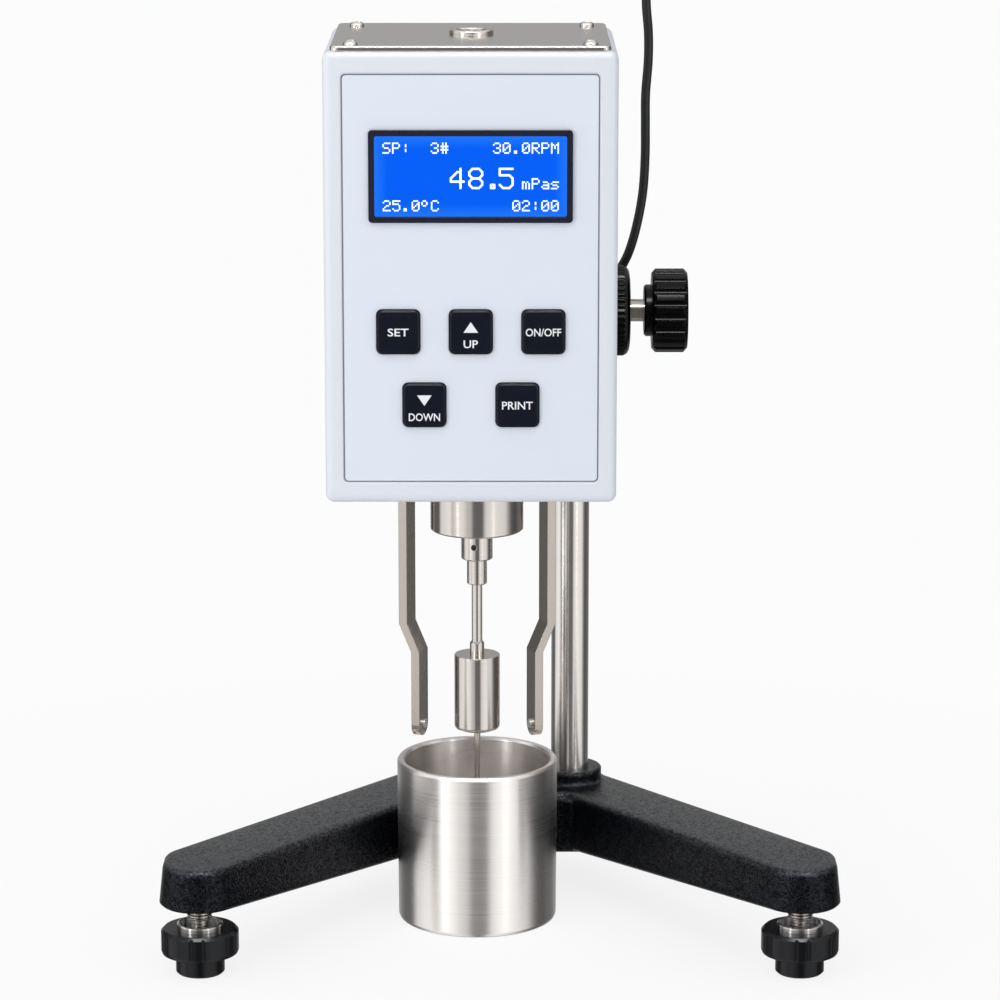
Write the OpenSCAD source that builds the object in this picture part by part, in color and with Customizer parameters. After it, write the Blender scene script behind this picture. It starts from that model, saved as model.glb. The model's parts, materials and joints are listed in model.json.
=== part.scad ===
// Rotational viscometer. A measuring head winds up and down a round column on a rack and pinion.
// A slow motor in the head turns a spindle through a hairspring, in a steel cup of sample.
// Millimetres, +Z up. The origin is on the bench, under the middle of the stand, on the
// spindle's depth. The operator stands at -Y.

/* [Stand] */
// Distance between the axes of the two front foot screws
foot_span = 241; // [230:1:255]
// Depth of the base casting, front to back
base_depth = 180; // [176:1:188]
// Half width of a leg at its underside
leg_r = 16; // [15:0.5:17.5]
// How much further a leg reaches back than its round front asks for
leg_back = 8; // [4:0.5:10]
// Height of a leg's top face above the bench, at its tip
tip_top = 46; // [44:0.5:50]
// Height of a leg's underside above the bench, at its tip
tip_under = 29; // [28:0.5:31]
// Height of the hub's top face above the bench
hub_top = 42; // [40:0.5:45]
// Height of the hub's underside above the bench
hub_under = 16; // [13:0.5:18]
// How far each wall of the casting leans in towards its top
draft = 1.5; // [0.5:0.1:2.5]
// Rounding of the casting's top edges
casting_edge = 2; // [1:0.1:2.5]
// Rounding of the inner corners between hub and legs
web_r = 9; // [6:0.5:12]

/* [Column] */
// Distance of the column's axis to the right of the middle
column_x = 30; // [27:0.5:30.5]
// Gap between the head's rear face and the column
column_gap = 6; // [5:0.5:8]
// Diameter of the column
column_d = 16; // [14:0.5:17]
// Height of the column's top above the lift's pinion
column_over = 93; // [80:1:105]
// Diameter of the boss that the column stands in
boss_d = 27.4; // [25:0.2:29]
// Height of that boss above the hub
boss_rise = 6; // [4:0.5:8]
// Diameter of the bolt that holds the column down
column_bolt_d = 8; // [6:1:8]

/* [Rack and pinion] */
// Gear module of the rack and its pinion
gear_m = 1; // [0.9:0.05:1.1]
// Number of teeth on the pinion
pinion_teeth = 12; // [11:1:13]
// Pressure angle of the teeth, in degrees
pressure_angle = 25; // [24:1:27]
// Play between the teeth, measured along the pitch line
backlash = 0.24; // [0.16:0.02:0.4]
// Width of the rack
rack_w = 6; // [5:0.5:7]
// Travel of the head upwards from where it stands
lift_up = 50; // [30:1:55]
// Travel of the head downwards from where it stands
lift_down = 45; // [30:1:46]
// Diameter of the shaft between pinion and knob
lift_shaft_d = 9.5; // [8:0.5:11]
// Diameter of the lift knob
lift_knob_d = 35.5; // [32:0.5:40]
// Number of flutes round the lift knob
knob_flutes = 20; // [16:1:22]
// Diameter of the ring that sets how stiffly the lift turns
tension_ring_d = 38.5; // [36:0.5:42]

/* [Head] */
// Width of the head
head_w = 115.5; // [112:0.5:120]
// Depth of the head
head_d = 96; // [96:0.5:97]
// Height of the head without its cover
head_h = 179.5; // [175:0.5:190]
// Height of the head's underside above the bench
head_z = 188; // [186:0.5:192]
// Thickness of the housing's walls
wall = 3; // [2.5:0.1:3.5]
// Rounding of the housing's corners, seen from the front
corner_r = 3.5; // [3.2:0.1:6]
// Distance of the spindle's axis behind the middle of the head
spindle_back = 4; // [3:0.5:5]
// Height of the lift's pinion above the head's underside
lift_z = 56.9; // [50:0.5:70]
// Distance of the head's middle to the left of the spindle's axis
head_shift = 2; // [0:0.5:4]
// Thickness of the steel top cover
cover_t = 2; // [1.6:0.1:2.4]
// How far the top cover stays inside the housing's outline at each side
cover_inset = 3; // [2.5:0.1:4]
// Distance of the rear cover screws from the cover's rear edge
rear_screw_in = 12; // [5:0.5:16]
// Diameter of the round spirit level's bezel
level_d = 18; // [16:0.5:22]
// Height of that bezel's flange above the cover
level_h = 1.6; // [1.2:0.1:3]

/* [Front panel] */
// Width of the printed overlay
overlay_w = 100.7; // [98:0.1:104]
// Margin of the head's front face above and below the overlay
overlay_margin = 8.75; // [7:0.25:11]
// Width of the display's bezel
lcd_w = 80; // [76:0.5:84]
// Height of the display's bezel
lcd_h = 36.4; // [34:0.2:40]
// Width of the display bezel's rim
lcd_rim = 2.35; // [1.5:0.05:3]
// Width of a key
key_w = 16.9; // [15:0.1:18]
// Height of a key
key_h = 17.5; // [15:0.1:18.5]
// Distance between the keys of the upper row
key_pitch = 28.6; // [26:0.1:30]
// Distance between the two key rows
key_rows = 29.3; // [27:0.1:31]
// Share of the front's free height that lies above the display
free_above = 0.317; // [0.25:0.01:0.4]
// Share of the front's free height that lies below the keys
free_below = 0.323; // [0.25:0.01:0.4]
// Travel of a key
key_travel = 1.2; // [0.6:0.1:1.3]

/* [Spindle] */
// Distance of the spindle's axis to the left of the middle
spindle_left = 9.5; // [8:0.5:11]
// Diameter of the measuring bob
bob_d = 18.84; // [16:0.02:20]
// Height of the measuring bob
bob_h = 32.4; // [25:0.2:34]
// Height of the bob's underside above the bench
bob_z = 80.3; // [78.5:0.1:84]
// Length of the rod under the bob
tip_len = 25.3; // [18:0.1:27]
// Diameter of the spindle's shaft
spindle_shaft_d = 4.4; // [3:0.1:5]
// Diameter of the coupling that the spindle screws into
coupling_d = 13; // [12:0.2:16]
// Height of the coupling
coupling_h = 11.7; // [11:0.1:12.4]
// Diameter of the bearing collar under the head
collar_d = 38.2; // [34:0.2:39]
// Height of the bearing collar under the head
collar_h = 22.2; // [20:0.2:25]
// Diameter of the pivot shaft
pivot_d = 6; // [5:0.1:6.4]

/* [Guard legs] */
// Width of a guard leg's strip
strip_w = 10; // [8:0.2:11]
// Thickness of a guard leg's strip
strip_t = 3.6; // [3:0.1:4]
// Distance from the spindle's axis to the upper half of a leg
guard_r_top = 31; // [30:0.2:33]
// Distance from the spindle's axis to the lower half of a leg
guard_r_low = 25.6; // [24:0.2:26.4]
// Height of the legs' lower ends above the bench
guard_z = 75.6; // [75:0.1:84]
// Angle of each leg behind the spindle's left and right, in degrees
guard_turn = 20; // [10:1:28]

/* [Sample cup] */
// Outer diameter of the cup
cup_d = 66.6; // [65.8:0.1:68.4]
// Gap between the cup and the wall of the hub behind it
cup_gap = 0.6; // [0.5:0.1:0.9]
// Height of the cup
cup_h = 68.2; // [60:0.2:69]
// Thickness of the cup's wall
cup_wall = 3.2; // [2.6:0.1:3.4]
// Thickness of the cup's floor
cup_floor = 3; // [2:0.1:4]

/* [Feet] */
// Diameter of a foot's pad
pad_d = 19.6; // [17:0.2:22]
// Height of a foot's pad
pad_h = 7.9; // [7:0.1:8.4]
// Diameter of a foot's levelling knob
foot_knob_d = 31.2; // [28:0.2:34]
// Height of a foot's levelling knob
foot_knob_h = 10.6; // [10:0.1:11.2]
// Diameter of the steel ring let into the levelling knob
foot_ring_d = 18.4; // [16:0.2:20]
// Height of that ring above the knob
foot_ring_rise = 2.2; // [1:0.1:3]
// Diameter of the levelling screw
stud_d = 8; // [7:0.5:9]
// Travel of a foot up from where it stands
foot_up = 4; // [2:0.5:4]
// Diameter of the rear foot
rear_foot_d = 24; // [20:0.5:28]

/* [Cord] */
// Diameter of the cord
cord_d = 4; // [3.6:0.1:4.6]

/* [Hidden] */
$fn = 64;
SIDES = [-1, 1];

// Clearances
run_gap = 0.05;     // radial, between a part that turns or slides and its bearing
free_gap = 0.3;     // between parts that must never touch
part_gap = 0.15;    // round a panel that drops into its frame
end_gap = 0.2;      // endwise, between a turning part and what it bears on

// Places that several groups share
spindle_x = -spindle_left;
front_y = -head_d / 2 - spindle_back;
rear_y = front_y + head_d;
panel_t = 3;
panel_y = rear_y - panel_t;
column_y = rear_y + column_gap + column_d / 2;
pinion_z = head_z + lift_z;

// Stand
foot_x = foot_span / 2;
foot_y = -base_depth / 2 + leg_r;
rear_foot_y = base_depth / 2 - leg_r;
leg_vector = [foot_x - column_x, foot_y - column_y];
leg_dir = leg_vector / norm(leg_vector);
leg_in = [leg_dir.y, -leg_dir.x];
cup_r = cup_d / 2;
wall_y = cup_r + cup_gap;
wall_post_y = wall_y + leg_r;
wall_post_x = column_x + (column_y - wall_post_y) * leg_dir.x / -leg_dir.y;
hub_back = 0.6 * leg_back;
boss_r = boss_d / 2;
boss_top = hub_top + boss_rise;
bolt_head_d = 1.6 * column_bolt_d;
bolt_head_h = 0.65 * column_bolt_d;
bolt_recess_d = bolt_head_d + 5;
bolt_recess_z = hub_under + bolt_head_h + 1.5;
column_seat = bolt_recess_z + 5;
bolt_grip = 22;
bush_d = stud_d + 4;
bush_top = tip_top - 6;
bush_end_d = stud_d + 2.2;
bush_low = tip_under - 5.8;
rear_screw_d = 5;

// Feet
knob_z = pad_h + end_gap;
ring_z = knob_z + foot_knob_h;
stud_top = tip_top - foot_up - 4.2;
stud_pocket_top = stud_top + foot_up + free_gap;
stud_tip_d = stud_d - 2;
stud_tip_z = 2.5;
thread_pitch = 1.25;
thread_deep = 0.55;
foot_ring_t = 1.2;
foot_ring_seat = ring_z - 3;
well_z = min(ring_z - 0.4, bush_low - foot_up - free_gap);
thread_z = well_z;
thread_turns = floor((stud_top - 1 - thread_z) / thread_pitch);

// Spindle line
collar_z = head_z - collar_h;
coupling_top = collar_z - 0.8;
coupling_z = coupling_top - coupling_h;
hub_d = coupling_d * 0.64;
hub_len = 10.6;
neck_d = spindle_shaft_d + 1.6;
bob_top = bob_z + bob_h;
neck_top = bob_top + 5.8;
tip_z = bob_z - tip_len;
tip_d = 2.6;
stub_d = 5;
stub_len = 3.8;
pivot_r = pivot_d / 2;
pivot_low = coupling_z + stub_len + 0.6;
grub_d = 2.4;
grub_z = pivot_low + grub_d / 2 + 0.3;
grub_turn = -11;
bearing_d = pivot_d + 13;
bearing_h = 5;
spigot_d = 30;
spigot_h = 7;
frame_t = 2.5;
inside_z = head_z + wall;
frame_z = inside_z;
frame_h = 63.5;
frame_top = frame_z + frame_h;
pointer_up = 12;
pointer_z = frame_z + pointer_up;
spring_up = 7;
spring_z = pointer_z + spring_up;
pivot_up = 6;
pivot_top = spring_z + pivot_up;
pivot_tip_d = 3;
pivot_tip_len = 4;
drive_disc_up = 12;
drive_disc_z = pivot_top + drive_disc_up;
motor_w = 42;
motor_h = 34;
pilot_d = 22;
frame_w = 56;
frame_back = 6.5;
gate_d = 10;
frame_y = panel_y - frame_back - frame_t;
disc_d = 2 * (frame_y - gate_d);
spring_r = disc_d / 2 - 7;
spring_t = 0.5;
spring_w = 3;
spring_turns = 3.5;
spring_post_d = 2.4;

// Head
head_x = spindle_x - head_shift;
head_top = head_z + head_h;
inside_w = head_w - 2 * wall;
inside_y = front_y + wall;
panel_h = head_h - 2 * wall;
panel_z = head_z + head_h / 2;
screw_block = 9;
small_screw_d = 3;
rear_screw_x = (inside_w - screw_block) / 2;
SCREW_Z = [inside_z + screw_block / 2, head_top - wall - screw_block / 2];
cover_w = head_w - 2 * cover_inset + 0.3;
cover_front = front_y + 2;
cover_d = head_d - 4;
cover_screw_x = cover_w / 2 - 8;
cover_screw_in = 5;
cover_hole_in = 12;
COVER_SCREW_Y = [cover_front + cover_screw_in, cover_front + cover_d - rear_screw_in];
cover_z = head_top + cover_t;
level_body_r = level_d / 2 - 2.2;
level_wall = 1;
level_deep = 9;
overlay_t = 0.8;
overlay_recess = 1;
overlay_h = head_h - 2 * overlay_margin;
overlay_z = head_z + head_h / 2;
overlay_r = 1.8;
front_free = head_h - lcd_h - key_rows - key_h;
lcd_mid = head_top - free_above * front_free - lcd_h / 2;
lcd_proud = 1;
lcd_r = 1.5;
lcd_post_x = lcd_w / 2 + 3;
lcd_post_z = lcd_h / 2 + 3;
window_t = 1.2;
pcb_t = 1.6;
lcd_pcb_y = inside_y + 2.6;
key_r = 2.4;
key_proud = 1.4;
key_flange = 1.4;
key_stem_d = 4;
board_y = inside_y + 5.5;
switch_h = 1.4;
row_2_z = head_z + free_below * front_free + key_h / 2;
row_1_z = row_2_z + key_rows;
keys_z = (row_1_z + row_2_z) / 2;
key_post_x = key_pitch * 1.5 + 1;
lower_x = key_pitch * 0.643;
KEYS = [[-key_pitch, row_1_z], [0, row_1_z], [key_pitch, row_1_z], [-lower_x, row_2_z], [lower_x, row_2_z]];
post_d = 6;
board_w = 84;
board_low = frame_top + motor_h + 12;
board_h = head_top - wall - 6 - board_low;
board_z = board_low + board_h / 2;
board_post_h = 7;
socket_x = head_x - 34;
socket_z = head_z + 27;
socket_w = 17.4;
socket_h = 8.8;

// Guard legs
guard_screw_r = guard_r_top - 6;
guard_screw_d = 4;
guard_pin_z = guard_z + strip_w / 2;
guard_pin_d = 2.4;
guard_bend_low = bob_top - 0.6;
guard_bend_top = guard_bend_low + 11.8;

// Lift
pitch_r = gear_m * pinion_teeth / 2;
addendum = 0.9 * gear_m;
dedendum = 1.15 * gear_m;
tooth_pitch = PI * gear_m;
tooth_w = (tooth_pitch - backlash) / 2;
rack_tip_y = column_y + sqrt(pow(column_d / 2, 2) - pow(rack_w / 2, 2)) - 2 * run_gap;
rack_pitch_y = rack_tip_y - addendum;
rack_t = 4.5;
rack_back_y = rack_tip_y - rack_t;
pinion_y = rack_pitch_y + pitch_r;
column_top = pinion_z + column_over;
rack_teeth = 2 * ceil((max(lift_up, lift_down) + 12) / tooth_pitch);
rack_half = rack_teeth / 2 * tooth_pitch;
pinion_w = rack_w - 2 * free_gap;
block_half = 20;
block_left = column_x - column_d / 2 - 12;
block_right = column_x + column_d / 2 + 8.5;
block_rear = pinion_y + 13;
bush_wall = 2;
bush_len = 12;
chamber_r = pitch_r + addendum + 1.1;
chamber_x = column_x - 8;
pinion_bush_x = column_x + free_gap
    + sqrt(pow(column_d / 2, 2) - pow(pinion_y - chamber_r - column_y, 2));
journal_d = 6;
journal_x = block_left + 4;
boss_x = block_right + 4;
ring_boss_d = 24;
ring_x = block_right + 0.5;
ring_end = block_right + 8.6;
knob_collar_x = block_right + 14.5;
knob_body_x = knob_collar_x + 3.3;
knob_end = knob_body_x + 15;
knob_collar_d = 22;
shaft_in_knob = 8;
ring_ribs = 48;
rib_deep = 0.6;
bolt_d = 4;
bolt_dz = 13;
bolt_end_y = rear_y + 5.5;
block_r = 5;
block_mid_x = (block_left + block_right) / 2;
bolt_dx = min((block_right - block_left) / 2, head_x + inside_w / 2 - block_mid_x) - 4;

// Cord: out of the gland, round behind the lift, then up beside the head
gland_x = -2;
gland_z = 232;
gland_d = 8;
gland_nut_d = 13;
relief_len = 20;
CORD = [
    [-2, 68, 232], [-2, 75, 232], [1, 84, 233], [8, 92, 235], [18, 97, 238], [29, 99, 242],
    [39, 98, 247], [48, 97, 254], [54, 95, 263], [58, 95, 275], [61, 95, 291], [62, 95, 307],
    [62, 95, 321], [62, 95, 334], [63, 95, 348], [63, 95, 360], [62, 95, 372], [62, 95, 384],
];
plug_len = 26;
plug_d = 9;

// Colours
BLACK_PAINT = "#26272b";
BLACK_PLASTIC = "#1b1c1f";
STEEL = "#c9c8c5";
DARK_STEEL = "#8d8f92";
PALE_PAINT = "#e4e7ef";
BOARD = "#2f6b45";
BRONZE = "#b08850";

// Points of an arc of radius r round c, from angle a to angle b, in n steps
function arc(c, r, a, b, n = 6) = [for (i = [0:n]) let (t = a + (b - a) * i / n) c + r * [cos(t), sin(t)]];

// Outline of a w by h rectangle with rounded corners, centred
function round_rect(w, h, r, n = 5) = [
    each arc([w / 2 - r, h / 2 - r], r, 0, 90, n),
    each arc([-w / 2 + r, h / 2 - r], r, 90, 180, n),
    each arc([-w / 2 + r, -h / 2 + r], r, 180, 270, n),
    each arc([w / 2 - r, -h / 2 + r], r, 270, 360, n),
];

// Rounded plate that faces the operator, from y0 to y1, centred on [x, z]
module front_plate(x, z, w, h, r, y0, y1) {
    translate([x, y1, z]) rotate([90, 0, 0]) linear_extrude(y1 - y0) polygon(round_rect(w, h, r));
}

// Cylinder along Y from y0 to y1
module rod_y(x, z, d, y0, y1) {
    translate([x, y1, z]) rotate([90, 0, 0]) cylinder(d = d, h = y1 - y0);
}

// Cylinder along X from x0 to x1
module rod_x(y, z, d, x0, x1) {
    translate([x0, y, z]) rotate([0, 90, 0]) cylinder(d = d, h = x1 - x0);
}

// Solid of revolution about the spindle's axis
module on_spindle(profile) {
    translate([spindle_x, 0, 0]) rotate_extrude() polygon(profile);
}

// Stand

// One post of the casting: drafted wall, slightly rounded foot and rounded top edge
module casting_post(at, z0, z1, r = leg_r) {
    translate([at.x, at.y, 0]) {
        translate([0, 0, z0]) cylinder(r1 = r - 1, r2 = r, h = 1, $fn = 32);
        translate([0, 0, z0 + 1]) cylinder(r1 = r, r2 = r - draft, h = z1 - z0 - 1 - casting_edge, $fn = 32);
        for (a = [30:30:90])
            translate([0, 0, z1 - casting_edge])
                cylinder(r = r - draft - casting_edge * (1 - cos(a)), h = casting_edge * sin(a), $fn = 32);
    }
}

// Fills the inner corner between the hub's front wall and the right leg
module web_fillet() {
    side_r = leg_r - 0.8;
    front = wall_y + 0.8;
    start = [column_x, column_y] + side_r * leg_in;
    corner = start + (front - start.y) / leg_dir.y * leg_dir;
    along = [-1, 0];
    half = acos(-leg_dir.x) / 2;
    reach = web_r / tan(half);
    middle = (along + leg_dir) / norm(along + leg_dir);
    centre = corner + web_r / sin(half) * middle;
    translate([0, 0, hub_under + 2]) linear_extrude(hub_top - hub_under - 4.5) difference() {
        polygon([
            corner - 4 * middle, corner + reach * along + [0, 2], corner + reach * along,
            centre, corner + reach * leg_dir, corner + reach * leg_dir - 2 * leg_in,
        ]);
        translate(centre) circle(r = web_r);
    }
}

module base_casting() {
    shoulder = leg_r - 0.6;
    color(BLACK_PAINT) difference() {
        union() {
            hull() {
                casting_post([0, rear_foot_y], hub_under, hub_top);
                for (s = SIDES) {
                    casting_post([s * column_x, column_y + hub_back], hub_under, hub_top);
                    casting_post([s * wall_post_x, wall_post_y], hub_under, hub_top);
                }
            }
            for (s = SIDES) hull() {
                for (back = [0, leg_back]) casting_post([s * foot_x, foot_y + back], tip_under, tip_top);
                for (back = [-1, hub_back - 1])
                    casting_post([s * (column_x + 1), column_y + back],
                        hub_under + 0.4, hub_top - 0.3, shoulder);
            }
            web_fillet();
            mirror([1, 0, 0]) web_fillet();
            translate([column_x, column_y, 0]) rotate_extrude() polygon([
                [0, hub_top - 6], [boss_r + 2, hub_top - 6],
                each arc([boss_r + 2, hub_top + 2], 2, 270, 180, 4),
                [boss_r, boss_top - 0.7], [boss_r - 0.7, boss_top], [0, boss_top],
            ]);
        }
        translate([column_x, column_y, 0]) {
            translate([0, 0, column_seat]) cylinder(d = column_d, h = boss_top);
            cylinder(d = column_bolt_d + 0.6, h = boss_top);
            cylinder(d = bolt_recess_d, h = bolt_recess_z);
        }
        for (s = SIDES) translate([s * foot_x, foot_y, 0]) {
            cylinder(d = bush_d, h = bush_top);
            cylinder(d = stud_d + 1, h = stud_pocket_top);
        }
        translate([0, rear_foot_y, 0]) cylinder(d = rear_screw_d, h = hub_under + 12);
    }
}

// Side of a threaded bar of radius r from height z up, one ridge a turn, in [radius, height]
function thread_side(r, z, turns) = [
    for (i = [0:turns - 1]) let (low = z + i * thread_pitch)
        each [[r, low], [r - thread_deep, low + thread_pitch / 2]],
    [r, z + turns * thread_pitch],
];

// Threaded inserts in the leg tips; their lower ends stand proud
module foot_bushes() {
    bore = stud_d / 2 + run_gap;
    r = bush_d / 2;
    end_turns = floor((tip_under - bush_low) / thread_pitch);
    color(STEEL) for (s = SIDES) translate([s * foot_x, foot_y, 0]) rotate_extrude() polygon([
        [bore, bush_low], each thread_side(bush_end_d / 2, bush_low, end_turns),
        [bush_end_d / 2, tip_under + 0.5], [r, tip_under + 0.5], [r, bush_top], [bore, bush_top],
    ]);
}

// Moulded rear foot, screwed up into the hub
module rear_foot() {
    r = rear_foot_d / 2;
    color(BLACK_PLASTIC) translate([0, rear_foot_y, 0]) {
        rotate_extrude() polygon([[0, 0], [r - 1, 0], [r, 1], [r - 2, hub_under], [0, hub_under]]);
        translate([0, 0, hub_under - 1]) cylinder(d = rear_screw_d, h = 12);
    }
}

module column() {
    r = column_d / 2;
    color(STEEL) difference() {
        translate([column_x, column_y, 0]) rotate_extrude() polygon([
            [0, column_seat], [r, column_seat], [r, column_top - 1], [r - 1, column_top], [0, column_top],
        ]);
        translate([column_x, column_y, column_seat - 1]) cylinder(d = column_bolt_d, h = bolt_grip + 3);
        translate([column_x - rack_w / 2, rack_back_y, pinion_z - rack_half])
            cube([rack_w, column_d, 2 * rack_half]);
    }
}

module column_bolt() {
    color(DARK_STEEL) translate([column_x, column_y, 0]) {
        translate([0, 0, bolt_recess_z - bolt_head_h]) cylinder(d = bolt_head_d, h = bolt_head_h, $fn = 6);
        translate([0, 0, bolt_recess_z - 1])
            cylinder(d = column_bolt_d, h = column_seat + bolt_grip - bolt_recess_z + 1);
    }
}

// Outline of one rack tooth, its middle at height z, in [depth, height]
function rack_tooth(z) =
    let (
        lean = tan(pressure_angle),
        root = tooth_w / 2 + dedendum * lean,
        tip = tooth_w / 2 - addendum * lean
    )
    [
        [rack_pitch_y - dedendum, z - root], [rack_tip_y, z - tip],
        [rack_tip_y, z + tip], [rack_pitch_y - dedendum, z + root],
    ];

module column_rack() {
    low = pinion_z - rack_half;
    high = pinion_z + rack_half;
    root_y = rack_pitch_y - dedendum;
    color(DARK_STEEL) translate([column_x - rack_w / 2, 0, 0])
        rotate([90, 0, 90]) linear_extrude(rack_w) polygon([
            [rack_back_y, high], [rack_back_y, low], [root_y, low],
            for (i = [0:rack_teeth - 1]) each rack_tooth(low + (i + 0.5) * tooth_pitch),
            [root_y, high],
        ]);
}

module sample_cup() {
    inner = cup_r - cup_wall;
    color(STEEL) on_spindle([
        [0, 0], [cup_r - 1.6, 0], [cup_r - 0.9, 0.4], [cup_r - 0.4, 1.6],
        [cup_r, cup_h - 1], [cup_r - 0.7, cup_h], [inner + 0.7, cup_h],
        [inner, cup_h - 0.9], [inner - 0.4, cup_floor + 3],
        each arc([inner - 3.4, cup_floor + 3], 3, 0, -90, 4), [0, cup_floor],
    ]);
}

// Levelling feet

module foot_pad(side) {
    r = pad_d / 2;
    color(BLACK_PLASTIC) translate([side * foot_x, foot_y, 0]) rotate_extrude() polygon([
        [0, 0], [r - 0.8, 0], [r, 0.8], [r, pad_h - 0.4], [r - 0.4, pad_h],
        [stud_tip_d / 2 + run_gap, pad_h], [stud_tip_d / 2 + run_gap, stud_tip_z - end_gap],
        [0, stud_tip_z - end_gap],
    ]);
}

// Levelling screw, its thread drawn as one ridge a turn
module foot_stud(side) {
    r = stud_d / 2;
    color(STEEL) translate([side * foot_x, foot_y, 0]) rotate_extrude() polygon([
        [0, stud_tip_z], [stud_tip_d / 2, stud_tip_z], [stud_tip_d / 2, knob_z + 1], [r, knob_z + 1],
        each thread_side(r, thread_z, thread_turns), [r, stud_top - 1], [r - 1, stud_top], [0, stud_top],
    ]);
}

// Moulded levelling knob with six pairs of grip grooves
module foot_knob(side) {
    r = foot_knob_d / 2;
    groove = 1.5;
    ring_r = foot_ring_d / 2;
    color(BLACK_PLASTIC) translate([side * foot_x, foot_y, 0]) difference() {
        rotate_extrude() polygon([
            [0, knob_z], [r - 1.4, knob_z], [r - 0.4, knob_z + 0.5], [r, knob_z + 1.6],
            [r, ring_z - 1.2], [r - 1.2, ring_z], [0, ring_z],
        ]);
        cylinder(d = stud_d, h = ring_z + 1);
        cylinder(d = stud_tip_d + 3, h = knob_z + 1);
        rotate_extrude() polygon([
            [0, well_z], [ring_r - foot_ring_t, well_z], [ring_r - foot_ring_t, foot_ring_seat],
            [ring_r, foot_ring_seat], [ring_r, ring_z + 1], [0, ring_z + 1],
        ]);
        for (i = [0:5], s = SIDES) rotate(i * 60 + s * 9 - 90)
            translate([r + 0.1, 0, knob_z + 1.4]) cylinder(d = groove, h = foot_knob_h, $fn = 16);
    }
}

module foot_ring(side) {
    r = foot_ring_d / 2;
    rim = ring_z + foot_ring_rise;
    color(STEEL) translate([side * foot_x, foot_y, 0]) rotate_extrude() polygon([
        [r - foot_ring_t, foot_ring_seat], [r, foot_ring_seat], [r, rim - 0.4], [r - 0.4, rim],
        [r - foot_ring_t + 0.3, rim], [r - foot_ring_t, rim - 0.3],
    ]);
}

// Head

// One corner post of the housing, along Y, rounded at the front edge
module housing_post(x, z) {
    edge = corner_r - 0.7;
    translate([x, rear_y, z]) rotate([90, 0, 0]) {
        cylinder(r = corner_r, h = head_d - edge, $fn = 32);
        for (a = [30:30:90]) translate([0, 0, head_d - edge])
            cylinder(r = corner_r - edge * (1 - cos(a)), h = edge * sin(a), $fn = 32);
    }
}

// Openings for the five keys, from y0 to y1
module key_holes(y0, y1) {
    for (k = KEYS)
        front_plate(head_x + k.x, k.y, key_w + 2 * free_gap, key_h + 2 * free_gap, key_r, y0, y1);
}

// Shanks of the screws that hold the guard legs, from z0 to z1
module guard_screw_rods(z0, z1) {
    for (a = [guard_turn, 180 - guard_turn])
        translate([spindle_x, 0, z0]) rotate(a) translate([guard_screw_r, 0, 0])
            cylinder(d = guard_screw_d, h = z1 - z0);
}

module housing() {
    across = head_w / 2 - corner_r;
    color(PALE_PAINT) difference() {
        union() {
            difference() {
                hull() for (sx = SIDES, z = [head_z + corner_r, head_top - corner_r])
                    housing_post(head_x + sx * across, z);
                translate([head_x - inside_w / 2, inside_y, inside_z])
                    cube([inside_w, head_d, head_h - 2 * wall]);
            }
            for (sx = SIDES, z = SCREW_Z)
                translate([head_x + sx * rear_screw_x, panel_y, z]) rotate([90, 0, 0])
                    linear_extrude(12) square(screw_block, center = true);
            for (sx = SIDES, sz = SIDES) {
                rod_y(head_x + sx * lcd_post_x, lcd_mid + sz * lcd_post_z, post_d, inside_y - 1, lcd_pcb_y);
                rod_y(head_x + sx * key_post_x, keys_z + sz * key_rows, post_d, inside_y - 1, board_y);
            }
        }
        front_plate(head_x, overlay_z, overlay_w + 2 * part_gap, overlay_h + 2 * part_gap, overlay_r,
            front_y - 1, front_y + overlay_recess);
        front_plate(head_x, lcd_mid, lcd_w, lcd_h, lcd_r, front_y - 1, inside_y + 1);
        key_holes(front_y - 1, inside_y + 1);
        translate([head_x - cover_w / 2 + cover_hole_in, cover_front + cover_hole_in, head_top - wall - 1])
            cube([cover_w - 2 * cover_hole_in, cover_d - 2 * cover_hole_in - 2, wall + 2]);
        for (sx = SIDES, y = COVER_SCREW_Y)
            translate([head_x + sx * cover_screw_x, y, head_top - wall - 1])
                cylinder(d = small_screw_d, h = wall + 2);
        translate([spindle_x, 0, head_z - 1]) cylinder(d = spigot_d, h = wall + 2);
        guard_screw_rods(head_z - 1, head_z + wall + 1);
        for (sx = SIDES, z = SCREW_Z)
            rod_y(head_x + sx * rear_screw_x, z, small_screw_d, panel_y - 9, panel_y + 1);
    }
}

module top_cover() {
    mid_y = cover_front + cover_d / 2;
    color(STEEL) difference() {
        translate([head_x, mid_y, head_top]) hull() {
            linear_extrude(cover_t - 0.8) polygon(round_rect(cover_w, cover_d, 3.2));
            linear_extrude(cover_t - 0.25) polygon(round_rect(cover_w - 0.5, cover_d - 0.5, 3));
            linear_extrude(cover_t) polygon(round_rect(cover_w - 1.6, cover_d - 1.6, 2.6));
        }
        for (sx = SIDES, y = COVER_SCREW_Y)
            translate([head_x + sx * cover_screw_x, y, head_top - 1])
                cylinder(d = small_screw_d, h = cover_t + 2);
        translate([head_x, 0, head_top - 1]) cylinder(r = level_body_r + part_gap, h = cover_t + 2);
    }
}

// Pan-head screws that hold the cover
module cover_screws() {
    z = cover_z;
    shank_r = small_screw_d / 2;
    color(STEEL) for (sx = SIDES, y = COVER_SCREW_Y)
        translate([head_x + sx * cover_screw_x, y, 0]) difference() {
            rotate_extrude($fn = 32) polygon([
                [0, head_top - wall], [shank_r, head_top - wall], [shank_r, z], [3, z], [3, z + 0.6],
                [2.5, z + 1.2], [1.6, z + 1.6], [0, z + 1.8],
            ]);
            for (a = [0, 90]) rotate(a) translate([-1.6, -0.3, z + 0.8]) cube([3.2, 0.6, 2]);
        }
}

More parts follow.
